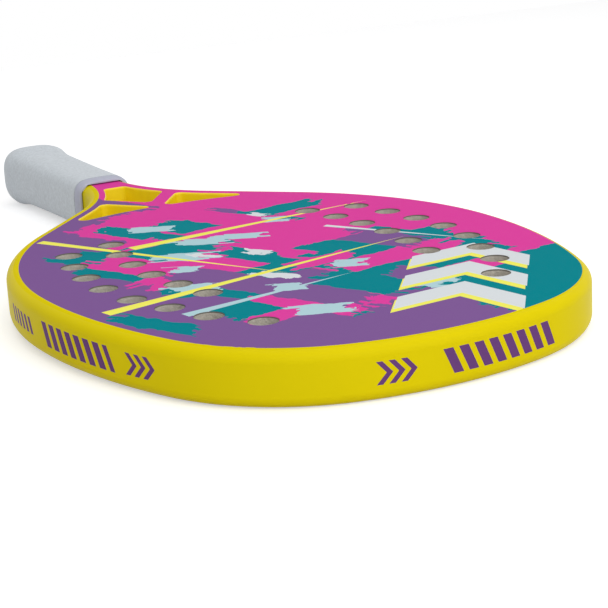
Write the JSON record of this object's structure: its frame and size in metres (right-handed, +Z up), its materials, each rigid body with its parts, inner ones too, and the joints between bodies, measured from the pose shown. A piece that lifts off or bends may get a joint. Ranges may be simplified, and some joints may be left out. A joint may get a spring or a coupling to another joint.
{
  "type": "beach tennis racket",
  "caption": "Beach tennis racket with a drilled, foam-cored head, an open throat braced by a V, and a short padded handle with a flared butt.",
  "frame": {"origin": "centre of the racket's bounding box, at mid thickness on the centre line", "axes": "+X from the butt to the tip of the head, +Y across the head, +Z up through the faces"},
  "size_m": [0.486, 0.2414, 0.0358],
  "materials": {
    "frame_paint": "sprayed satin lacquer over a carbon and glass laminate",
    "face_print": "printed laminate under a clear satin coat",
    "eva_foam": "closed cells cut open by a drill",
    "handle_foam": "moulded polyurethane foam with a skin",
    "cap_nylon": "injection moulded, lightly grained",
    "screw_steel": "zinc plated",
    "grip_padding": "soft polyurethane skin, wrapped tight",
    "collar_rubber": "stretched band, matt"
  },
  "bodies": {
    "root": {"frame_tube": "frame_paint", "throat_yoke": "frame_paint", "handle_core": "frame_paint", "face_top": "face_print", "face_bottom": "face_print", "foam_core": "eva_foam", "handle_pallet_top": "handle_foam", "handle_pallet_bottom": "handle_foam", "butt_cap": "cap_nylon", "butt_screw_top": "screw_steel", "butt_screw_bottom": "screw_steel", "base_grip": "grip_padding", "grip_collar": "collar_rubber"}
  },
  "joints": []
}
